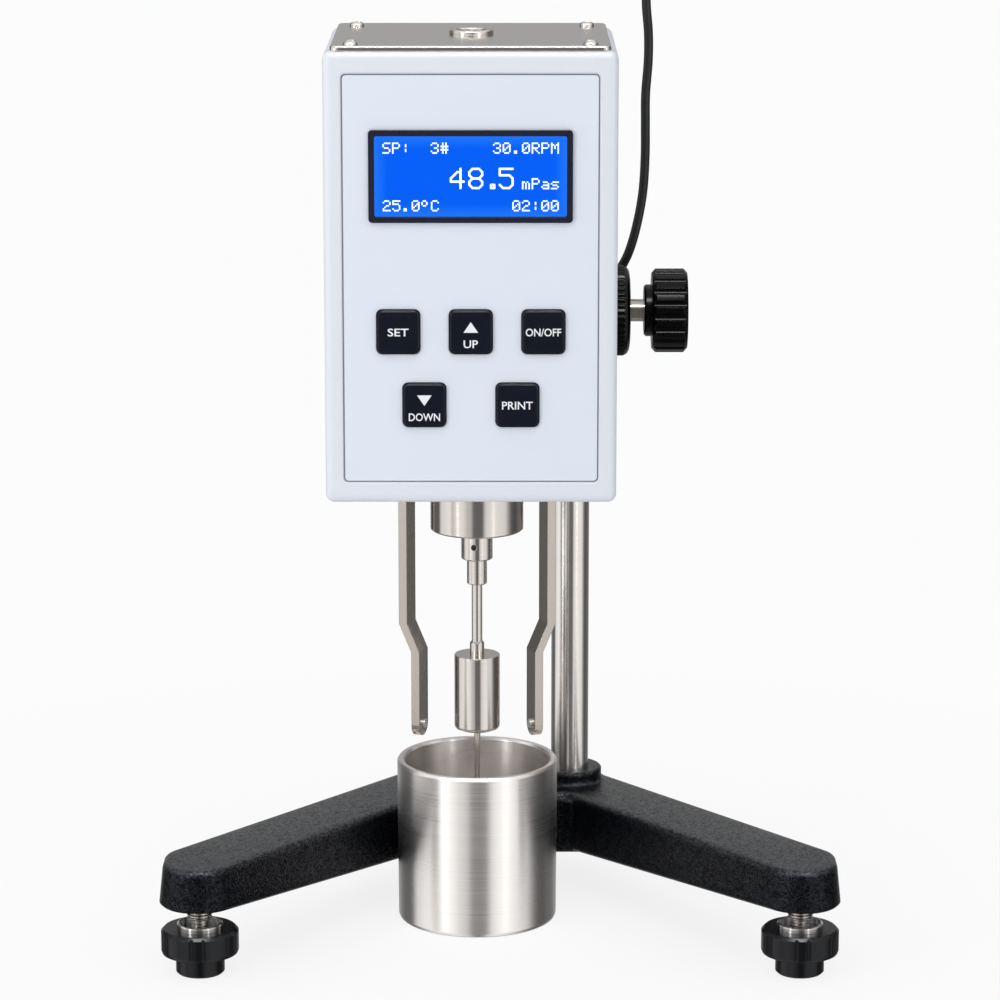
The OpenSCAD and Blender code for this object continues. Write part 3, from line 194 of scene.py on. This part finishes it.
def wrinkle_paint(name):
    """Black paint with a fine crinkled skin; its specular level is higher on the ridges, and higher still,
    as painted sheen, on faces that look up.
    """
    n = Nodes(name)
    where = n.place((1, 0.45, 1))
    body = n.shader(IOR=1.55, Specular_Tint=(0.84, 0.91, 1.0, 1))
    skin = n.noise(where, scale=850, detail=1, distortion=1.6)
    facing = n.add("ShaderNodeSeparateXYZ")
    n.link(n.rounded(PAINT_EDGE), facing.inputs[0])
    # Painted sheen: the specular level is raised on faces that look up and lowered on the walls
    painted_top_sheen = n.ramp(facing.outputs["Z"], 0.22, 0.75, at=(0.1, 0.5))
    ridges = n.ramp(skin, 0.15, 1.0, at=(0.38, 0.62))
    n.link(n.math("MULTIPLY", ridges, painted_top_sheen), body.inputs["Specular IOR Level"])
    n.link(n.blend(skin, (0.001, 0.001, 0.002, 1), (0.004, 0.005, 0.007, 1)), body.inputs["Base Color"])
    n.link(n.ramp(n.noise(where, scale=900), 0.14, 0.24), body.inputs["Roughness"])
    n.link(n.bump(skin, CRINKLE_DEPTH, soften=PAINT_EDGE), body.inputs["Normal"])
    return n.material


def plastic(name, color, rough, grain=0.06 * MM, soften=0.4 * MM, ior=1.40):
    """Moulded plastic with a light spark texture."""
    n = Nodes(name)
    where = n.place()
    body = n.shader(IOR=ior)
    n.link(n.blend(n.noise(where, scale=120), color, paler(color, 1.3)), body.inputs["Base Color"])
    n.link(n.ramp(n.noise(where, scale=400), rough - 0.06, rough + 0.06), body.inputs["Roughness"])
    n.link(n.bump(n.noise(where, scale=1500), grain, strength=0.5, soften=soften), body.inputs["Normal"])
    return n.material


def steel(name, color, rough, lines=(1, 1, 1), depth=0.01 * MM, spread=0.05, soften=0.3 * MM,
          axis=None):
    """Steel with machining or brushing lines, fine along the axes where lines is large.
    Where it is turned round an axis, its reflections are drawn out along that axis."""
    n = Nodes(name)
    where = n.place(lines)
    body = n.shader(Metallic=1.0)
    marks = n.noise(where, scale=300, detail=4, roughness=0.6)
    n.link(n.blend(marks, paler(color, 0.88), color), body.inputs["Base Color"])
    n.link(n.ramp(marks, rough - spread, rough + spread, at=(0.25, 0.75)), body.inputs["Roughness"])
    n.link(n.bump(marks, depth, strength=0.6, soften=soften), body.inputs["Normal"])
    if axis:
        round_it = n.add("ShaderNodeTangent", direction_type="RADIAL", axis=axis)
        n.link(round_it.outputs[0], body.inputs["Tangent"])
        body.inputs["Anisotropic"].default_value = TURNED_ANISOTROPY
        body.inputs["Anisotropic Rotation"].default_value = QUARTER_TURN
    return n.material


def lit_display(name):
    """Blue backlight, a little paler towards the glass's edges."""
    n = Nodes(name)
    low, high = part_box("lcd_window")
    axes = n.add("ShaderNodeSeparateXYZ")
    n.link(n.add("ShaderNodeTexCoord").outputs["Object"], axes.inputs[0])
    edge = []
    for axis, i in (("X", 0), ("Z", 2)):
        middle, half = (low[i] + high[i]) / 2, (high[i] - low[i]) / 2
        away = n.math("ABSOLUTE", n.math("SUBTRACT", axes.outputs[axis], middle))
        edge.append(n.ramp(away, 0.0, 1.0, at=(half - EDGE_GLOW, half)))
    tint = n.blend(n.math("MAXIMUM", *edge), srgb(0, 90, 242), srgb(30, 118, 250))
    body = n.shader(Base_Color=(0.0, 0.02, 0.10, 1), Roughness=0.5, Emission_Strength=0.97,
                    Specular_IOR_Level=0.0)
    n.link(tint, body.inputs["Emission Color"])
    return n.material


def clear(name, tint, sheen):
    """Thin clear sheet: what lies behind shows straight through, under a faint reflection."""
    n = Nodes(name)
    see = n.add("ShaderNodeBsdfTransparent", Color=tint)
    shine = n.add("ShaderNodeBsdfGlossy")
    n.link(n.ramp(n.noise(n.place(), scale=400), 0.04, 0.12), shine.inputs["Roughness"])
    n.link(n.mix(sheen, see, shine).outputs[0], n.out.inputs[0])
    return n.material


def ink_and_painted_shade(name, color, glow=0.0):
    """Screen-printed ink, or lit dots where glow is set; also a flat grey band of painted shade."""
    n = Nodes(name)
    body = n.shader(Roughness=0.45)
    tint = n.blend(n.noise(n.place(), scale=500), color, paler(color, 0.93))
    n.link(tint, body.inputs["Base Color"])
    if glow:
        n.link(tint, body.inputs["Emission Color"])
        body.inputs["Emission Strength"].default_value = glow
    return n.material


# Finishes of the record's material slots, and of single nodes that differ from their slot

BRIGHT = (0.70, 0.66, 0.62, 1)
LATHE = (0.3, 0.3, 6)
RIM = steel("turned_rim", (0.86, 0.84, 0.82, 1), 0.22, LATHE, depth=0.003 * MM, axis="Z")
TURNED = steel("lathe_steel", BRIGHT, 0.17, LATHE, depth=0.004 * MM, axis="Z")
CUP = steel("brushed_cup", (0.87, 0.835, 0.81, 1), 0.30, lines=(0.03, 0.03, 11), depth=0.0035 * MM,
            soften=0.4 * MM, axis="Z")
COLUMN = steel("ground_column", (0.78, 0.75, 0.72, 1), 0.20, lines=(0.05, 0.05, 6), depth=0.0006 * MM,
               spread=0.02, axis="Z")
SHAFT = steel("turned_shaft", (0.46, 0.42, 0.39, 1), 0.16, lines=(6, 0.3, 0.3), depth=0.002 * MM, axis="X")
GUARD = steel("brushed_leg", (0.50, 0.455, 0.41, 1), 0.24, lines=(8, 8, 0.5), depth=0.005 * MM)
COVER = steel("brushed_cover", (0.73, 0.68, 0.65, 1), 0.15, lines=(1, 8, 8), depth=0.004 * MM,
              soften=0.6 * MM)
KNOB_BLACK = plastic("knob_black", (0.0008, 0.0008, 0.001, 1), 0.20, grain=0.02 * MM, ior=1.25)
FINISH = {
    "casting_paint": wrinkle_paint("wrinkle_black"),
    "black_plastic": plastic("moulded_black", (0.0035, 0.004, 0.0055, 1), 0.22, ior=1.34),
    "head_paint": painted("satin_white", srgb(223, 227, 236), 0.35, peel=0.03 * MM, soften=1.6 * MM),
    "bright_steel": steel("turned_steel", BRIGHT, 0.20, lines=(1, 1, 6)),
    "brushed_cover": COVER,
    "dark_steel": steel("machined_steel", (0.36, 0.36, 0.37, 1), 0.35),
    "bronze": steel("bearing_bronze", (0.66, 0.42, 0.20, 1), 0.32),
    "overlay_film": painted("overlay_film", srgb(222, 229, 241), 0.42, peel=0.01 * MM, soften=0.2 * MM),
    "key_gloss": plastic("key_gloss", (0.004, 0.006, 0.013, 1), 0.20, grain=0.01 * MM, soften=0.6 * MM,
                         ior=1.36),
    "lcd_blue": lit_display("lit_display"),
    "window_clear": clear("display_window", (1, 1, 1, 1), sheen=0.02),
    # The level's liquid has a green tint of its own, darkened near black as painted shade of the level's
    # hole
    "vial_liquid": plastic("level_liquid_in_painted_shade", (0.05, 0.06, 0.015, 1), 0.14, grain=0.01 * MM),
    "board_green": plastic("solder_mask", (0.02, 0.12, 0.05, 1), 0.35),
    "motor_case": plastic("motor_black", (0.02, 0.02, 0.022, 1), 0.4),
    "cord_rubber": plastic("cord_rubber", (0.010, 0.010, 0.011, 1), 0.42, grain=0.03 * MM, soften=0.0),
}
SPECIAL = {
    "lift_knob": KNOB_BLACK, "tension_ring": KNOB_BLACK,
    "lcd_bezel": plastic("bezel_black", (0.008, 0.010, 0.026, 1), 0.30),
    "sample_cup": CUP, "column": COLUMN, "pinion_shaft": SHAFT,
    "spindle": TURNED, "bearing_collar": TURNED, "coupling": TURNED,
    "guard_leg_left": GUARD, "guard_leg_right": GUARD,
    "guard_pins": steel("pin_heads", (0.96, 0.93, 0.90, 1), 0.42, depth=0.002 * MM),
    # Near black set screw: blackened steel in part, and in part painted shade of its socket
    "coupling_screw": steel("dark_screw_and_socket_shade", (0.05, 0.045, 0.04, 1), 0.30),
    "foot_ring_left": RIM, "foot_ring_right": RIM,
}
slot_of = {s["node"]: s["material_slot"] for s in frame["record"]["subparts"]}
for name, node in nodes.items():
    node.data.materials.clear()
    node.data.materials.append(SPECIAL.get(name, FINISH[slot_of[name]]))


# Mesh helpers

def piece(name, mesh, material, body):
    """New piece of the scene, in the row frame, riding on body."""
    obj = bpy.data.objects.new(name, mesh)
    bpy.context.scene.collection.objects.link(obj)
    obj.data.materials.clear()
    obj.data.materials.append(material)
    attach(obj, body)
    return obj


def finished(name, bm):
    """Mesh made from bm, which is then freed."""
    mesh = bpy.data.meshes.new(name)
    bm.to_mesh(mesh)
    bm.free()
    return mesh


def box_mesh(name, boxes):
    """One mesh of many small boxes, each (low corner, high corner)."""
    bm = bmesh.new()
    for low, high in boxes:
        size = [b - a for a, b in zip(low, high)]
        middle = [(a + b) / 2 for a, b in zip(low, high)]
        bmesh.ops.create_cube(bm, size=1, matrix=Matrix.Translation(middle) @ Matrix.Diagonal((*size, 1)))
    return finished(name, bm)


def prism_mesh(name, outline, y0, y1):
    """Flat plate facing the operator, from an outline of (x, z) points, between y0 and y1."""
    bm = bmesh.new()
    face = bm.faces.new([bm.verts.new((x, y1, z)) for x, z in outline])
    made = bmesh.ops.extrude_face_region(bm, geom=[face])
    moved = [v for v in made["geom"] if isinstance(v, bmesh.types.BMVert)]
    bmesh.ops.translate(bm, verts=moved, vec=(0, y0 - y1, 0))
    bmesh.ops.recalc_face_normals(bm, faces=bm.faces)
    return finished(name, bm)


def ring_mesh(name, outer, inner, y0, y1):
    """Closed flat band between two outlines of the same number of points."""
    bm = bmesh.new()
    loops = [[bm.verts.new((x, y, z)) for x, z in line] for line, y in (
        (outer, y0), (inner, y0), (inner, y1), (outer, y1))]
    for here, there in zip(loops, loops[1:] + loops[:1]):
        for i in range(len(here)):
            j = (i + 1) % len(here)
            bm.faces.new((here[i], here[j], there[j], there[i]))
    bmesh.ops.recalc_face_normals(bm, faces=bm.faces)
    return finished(name, bm)


# Painted shade round the front overlay: a thin grey band standing for the shadow in its groove

OUTLINE_W = 0.4 * MM
OUTLINE_T = 0.03 * MM
OVERLAY_R = 1.8 * MM
CORNER_STEPS = 6
LEAST_R = 0.1 * MM


def rounded_rectangle(low, high, inset, radius):
    """Points (x, z) of a rectangle with round corners, drawn in from a box by inset."""
    x0, z0, x1, z1 = low.x + inset, low.z + inset, high.x - inset, high.z - inset
    r = max(radius - inset, LEAST_R)
    points = []
    corners = (x1 - r, z1 - r), (x0 + r, z1 - r), (x0 + r, z0 + r), (x1 - r, z0 + r)
    for (x, z), start in zip(corners, (0, 90, 180, 270)):
        for i in range(CORNER_STEPS + 1):
            a = math.radians(start + 90 * i / CORNER_STEPS)
            points.append((x + r * math.cos(a), z + r * math.sin(a)))
    return points


low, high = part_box("front_overlay")
outer = rounded_rectangle(low, high, 0.0, OVERLAY_R)
inner = rounded_rectangle(low, high, OUTLINE_W, OVERLAY_R)
# The grey band is painted shade: it stands for the shadow in the groove round the overlay's edge
outline = ring_mesh("overlay_groove_shade", outer, inner, low.y - OUTLINE_T, low.y)
piece("overlay_groove_shade", outline, ink_and_painted_shade("painted_groove_shade", srgb(122, 128, 142)), "head")


# Cord: the route of part.scad, in metres

CORD_D = 4 * MM
CORD = [Vector(p) * MM for p in (
    (-2, 68, 232), (-2, 75, 232), (1, 84, 233), (8, 92, 235), (18, 97, 238), (29, 99, 242), (39, 98, 247),
    (48, 97, 254), (54, 95, 263), (58, 95, 275), (61, 95, 291), (62, 95, 307), (62, 95, 321), (62, 95, 334),
    (63, 95, 348), (63, 95, 360), (62, 95, 372), (62, 95, 384),
)]
STEPS = 6


def spline(points, steps):
    """Catmull-Rom line through the points."""
    ends = [2 * points[0] - points[1], *points, 2 * points[-1] - points[-2]]
    line = []
    for a, b, c, d in zip(ends, ends[1:], ends[2:], ends[3:]):
        for i in range(steps):
            t = i / steps
            line.append(0.5 * (2 * b + (c - a) * t + (2 * a - 5 * b + 4 * c - d) * t ** 2
                               + (3 * b - a - 3 * c + d) * t ** 3))
    return line + [points[-1]]


route = spline(CORD, STEPS)
curve = bpy.data.curves.new("mains_cord", "CURVE")
curve.dimensions = "3D"
curve.bevel_depth = CORD_D / 2
curve.bevel_resolution = 4
curve.use_fill_caps = True
line = curve.splines.new("POLY")
line.points.add(len(route) - 1)
for point, at in zip(line.points, route):
    point.co = (*at, 1)
cord = bpy.data.objects.new("mains_cord", curve)
bpy.context.scene.collection.objects.link(cord)
curve.materials.append(FINISH["cord_rubber"])
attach(cord, "head")
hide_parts("power_cord")


# Display: dot-matrix figures of no particular instrument

DOT_PITCH = 0.629 * MM
DOT_SIZE = 0.56 * MM
LARGE_STROKE = 0.75 * MM
DOT_DEPTH = 0.1 * MM
BEHIND_GLASS = 0.05 * MM
GLYPHS = {
    "0": ".###. #...# #..## #.#.# ##..# #...# .###.",
    "2": ".###. #...# ....# ..##. .#... #.... #####",
    "3": ".###. #...# ....# ..##. ....# #...# .###.",
    "4": "...#. ..##. .#.#. #..#. ##### ...#. ...#.",
    "5": "##### #.... ####. ....# ....# #...# .###.",
    "8": ".###. #...# #...# .###. #...# #...# .###.",
    "S": ".#### #.... #.... .###. ....# ....# ####.",
    "P": "####. #...# #...# ####. #.... #.... #....",
    "R": "####. #...# #...# ####. #.#.. #..#. #...#",
    "M": "#...# ##.## #.#.# #.#.# #...# #...# #...#",
    "C": ".###. #...# #.... #.... #.... #...# .###.",
    "m": "..... ..... ##.#. #.#.# #.#.# #.#.# #.#.#",
    "a": "..... ..... .###. ....# .#### #...# .####",
    "s": "..... ..... .#### #.... .###. ....# ####.",
    ":": "..... ..#.. ..#.. ..... ..#.. ..#.. .....",
    ".": "..... ..... ..... ..... ..... .##.. .##..",
    "#": ".#.#. .#.#. ##### .#.#. ##### .#.#. .#.#.",
    "*": ".##.. #..#. #..#. .##.. ..... ..... .....",
}


def joined(lit):
    """Places (column, row) of the lit dots and, in thirds of a step, of the strokes that join neighbours."""
    for c, r in lit:
        yield c, r
        for right, down in ((1, 0), (0, 1), (1, 1), (-1, 1)):
            goes_round = right and down and ((c + right, r) in lit or (c, r + down) in lit)
            if (c + right, r + down) in lit and not goes_round:
                yield from ((c + right * t, r + down * t) for t in (1 / 3, 2 / 3))


def dots(text, left, top, size=1, advance=6, point=6):
    """Boxes of text whose upper left corner is at (left, top). A dot is size small dots wide, and a large
    letter is drawn in strokes. A letter takes advance dots, and a decimal point takes point dots."""
    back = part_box("lcd_window")[1].y - BEHIND_GLASS
    front = back - DOT_DEPTH
    step = DOT_PITCH * size
    thick = DOT_SIZE if size == 1 else LARGE_STROKE
    made = []
    x = left
    for letter in text:
        rows = GLYPHS[letter].split()
        lit = {(c, r) for r, row in enumerate(rows) for c, mark in enumerate(row) if mark == "#"}
        for c, r in (lit if size == 1 else joined(lit)):
            at_x, at_z = x + c * step, top - (r + 1) * step
            made.append(((at_x, front, at_z), (at_x + thick, back, at_z + thick)))
        x += step * (point if letter == "." else advance)
    return made


low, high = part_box("lcd_window")
lcd_x, lcd_z = (low.x + high.x) / 2, (low.z + high.z) / 2
CELL = 6 * DOT_PITCH
TEXT_SIDES = -34.4, 35.2
ROW_TOPS = 13.3, 3.8, -0.7, -9.4
LARGE_LEFT = 26.3 * MM
text_left, text_right = (lcd_x + x * MM for x in TEXT_SIDES)
row_1, row_2, row_3, row_4 = (lcd_z + z * MM for z in ROW_TOPS)
shown = dots("SP:", text_left, row_1) + dots("3#", text_left + 5 * CELL, row_1)
shown += dots("30.0RPM", text_right - 7 * CELL, row_1)
shown += dots("48.5", text_left + LARGE_LEFT, row_2, size=2, advance=5.75, point=3.7)
shown += dots("mPas", text_right - 4 * CELL, row_3)
shown += dots("25.0*C", text_left, row_4) + dots("02:00", text_right - 5 * CELL, row_4)
piece("display_figures", box_mesh("display_figures", shown), ink_and_painted_shade("lit_dots", srgb(216, 230, 255), 0.92),
      "head")


# Legends of the keys: what each key does, in plain words and arrows

LEGEND_INK = ink_and_painted_shade("legend_white", srgb(238, 240, 245))
LEGEND_T = 0.06 * MM
LEGEND_CAP = 3.15 * MM
LEGEND_WEIGHT = 0.012
ARROW_UP, ARROW_W, ARROW_H = 2.0 * MM, 5.8 * MM, 4.2 * MM


def words(name, text, x, z, width, height, face_y, body):
    """Printed word of the given width and height, centred on (x, z), on a face at face_y."""
    letters = bpy.data.curves.new(name, "FONT")
    letters.body = text
    letters.offset = LEGEND_WEIGHT
    letters.extrude = 0.5
    letters.resolution_u = 3
    maker = bpy.data.objects.new(name + "_maker", letters)
    bpy.context.scene.collection.objects.link(maker)
    bpy.context.view_layer.update()
    mesh = bpy.data.meshes.new_from_object(maker.evaluated_get(bpy.context.evaluated_depsgraph_get()))
    bpy.data.objects.remove(maker)
    spans = [(min(v.co[i] for v in mesh.vertices), max(v.co[i] for v in mesh.vertices)) for i in (0, 1)]
    middle = [sum(s) / 2 for s in spans]
    wide, tall = (s[1] - s[0] for s in spans)
    for v in mesh.vertices:
        flat = (v.co.x - middle[0]) * width / wide, (v.co.y - middle[1]) * height / tall
        v.co = (x + flat[0], face_y - (v.co.z + 0.5) * LEGEND_T, z + flat[1])
    return piece(name, mesh, LEGEND_INK, body)


def arrow(name, x, z, width, height, face_y, body):
    """Printed triangle, pointing up for a height above nought and down below it."""
    outline = [(x - width / 2, z - height / 2), (x + width / 2, z - height / 2), (x, z + height / 2)]
    return piece(name, prism_mesh(name, outline, face_y - LEGEND_T, face_y), LEGEND_INK, body)


def key_face(node):
    """Middle of a key's front face, as x, y, z."""
    low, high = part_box(node)
    return (low.x + high.x) / 2, low.y, (low.z + high.z) / 2


for node, body, word, width, drop in (  # width and drop in mm
    ("set_key", "set_button", "SET", 8.3, 0.0), ("up_key", "up_button", "UP", 5.7, -4.7),
    ("power_key", "power_button", "ON/OFF", 14.0, 0.0), ("down_key", "down_button", "DOWN", 12.4, -4.7),
    ("print_key", "print_button", "PRINT", 12.2, 0.0),
):
    x, y, z = key_face(node)
    words(node + "_legend", word, x, z + drop * MM, width * MM, LEGEND_CAP, y, body)
for node, body, way in (("up_key", "up_button", 1), ("down_key", "down_button", -1)):
    x, y, z = key_face(node)
    arrow(node + "_arrow", x, z + ARROW_UP, ARROW_W, way * ARROW_H, y, body)


# Studio: what a mirror sees round the object

BACKGROUND = (0.973, 0.973, 0.977, 1)
STUDIO = {  # brightness by direction in degrees: 0 is towards the camera, 90 to the right
    -180: 0.45, -160: 0.45, -135: 0.16, -108: 0.16, -100: 1.05, -70: 1.30, -64: 0.80, -58: 0.95, -50: 1.20,
    -36: 1.20, -24: 0.80, -14: 0.70, -8: 0.20, 14: 0.18, 22: 1.00, 40: 1.25, 75: 1.05, 88: 0.40, 96: 0.16,
    112: 0.10, 122: 0.18, 140: 0.18, 160: 0.45, 180: 0.45,
}
OVERHEAD = 1.15
STUDIO_STRENGTH = 0.92
ZENITH = 0.45, 0.75
FLOOR_HALF = 9
SHADOW_REACH = 0.10, 0.42
LEAST_BARE = 0.86


def studio(n, direction):
    """Brightness of the studio in a direction."""
    axes = n.add("ShaderNodeSeparateXYZ")
    n.link(direction, axes.inputs[0])
    x, y, z = axes.outputs
    turn = n.math("ARCTAN2", x, n.math("MULTIPLY", y, -1))
    bands = n.add("ShaderNodeValToRGB")
    n.link(n.ramp(turn, 0.0, 1.0, at=(-math.pi, math.pi)), bands.inputs["Fac"])
    stops = bands.color_ramp.elements
    while len(stops) < len(STUDIO):
        stops.new(0.5)
    for stop, (degrees, value) in zip(stops, STUDIO.items()):
        stop.position = degrees / 360 + 0.5
        stop.color = (value, value, value, 1)
    up = n.ramp(z, 0.0, 1.0, at=ZENITH)
    return n.blend(up, bands.outputs["Color"], (OVERHEAD, OVERHEAD, OVERHEAD, 1))


# Floor: it holds the shadow near the object, and glossy rays pass through it to the studio

floor_paint = Nodes("floor")
lit = floor_paint.add("ShaderNodeBsdfDiffuse", Color=(0.86, 0.86, 0.865, 1))
plain = floor_paint.add("ShaderNodeEmission", Color=BACKGROUND)
beyond = floor_paint.add("ShaderNodeBsdfTransparent")
where = floor_paint.add("ShaderNodeTexCoord")
away = floor_paint.add("ShaderNodeVectorMath", operation="LENGTH")
floor_paint.link(where.outputs["Object"], away.inputs[0])
ray = floor_paint.add("ShaderNodeLightPath")
bare = floor_paint.ramp(away.outputs["Value"], LEAST_BARE, 1.0, at=SHADOW_REACH)
seen = floor_paint.mix(floor_paint.math("MULTIPLY", bare, ray.outputs["Is Camera Ray"]), lit, plain)
both = floor_paint.mix(ray.outputs["Is Glossy Ray"], seen, beyond)
floor_paint.link(both.outputs[0], floor_paint.out.inputs[0])
floor_paint.material.cycles.emission_sampling = "NONE"
floor_mesh = bpy.data.meshes.new("floor")
corners = [(FLOOR_HALF * x, FLOOR_HALF * y, 0) for x, y in ((-1, -1), (1, -1), (1, 1), (-1, 1))]
floor_mesh.from_pydata(corners, [], [(0, 1, 2, 3)])
floor = bpy.data.objects.new("floor", floor_mesh)
floor_mesh.materials.append(floor_paint.material)
bpy.context.scene.collection.objects.link(floor)

# World and lights

air = Nodes("studio", world=True)
backdrop = air.add("ShaderNodeBackground", Color=BACKGROUND)
around = air.add("ShaderNodeBackground", Strength=STUDIO_STRENGTH)
where = air.add("ShaderNodeTexCoord")
air.link(studio(air, where.outputs["Generated"]), around.inputs["Color"])
ray = air.add("ShaderNodeLightPath")
air.link(air.mix(ray.outputs["Is Camera Ray"], around, backdrop).outputs[0], air.out.inputs[0])
bpy.context.scene.world = air.material


AIM = Vector((0, 0, 0.18))


def softbox(name, turn, rise, distance, width, height, power, diffuse=True):
    """Rectangular light, turn degrees to the right and rise degrees up as seen from AIM."""
    a, e = math.radians(turn), math.radians(rise)
    at = AIM + distance * Vector((math.sin(a) * math.cos(e), -math.cos(a) * math.cos(e), math.sin(e)))
    lamp = bpy.data.lights.new(name, "AREA")
    lamp.shape = "RECTANGLE"
    lamp.size = width
    lamp.size_y = height
    lamp.energy = power
    obj = bpy.data.objects.new(name, lamp)
    obj.location = at
    obj.rotation_euler = (AIM - at).to_track_quat("-Z", "Y").to_euler()
    obj.visible_diffuse = diffuse
    bpy.context.scene.collection.objects.link(obj)


softbox("left_box", turn=-48, rise=12, distance=1.2, width=0.09, height=0.6, power=2.4)
softbox("right_box", turn=41, rise=12, distance=1.2, width=0.06, height=0.6, power=1.2, diffuse=False)
softbox("top_box", turn=-12, rise=62, distance=1.3, width=0.9, height=0.08, power=2.2)
softbox("edge_box", turn=0, rise=60, distance=1.3, width=1.0, height=0.30, power=16.0, diffuse=False)
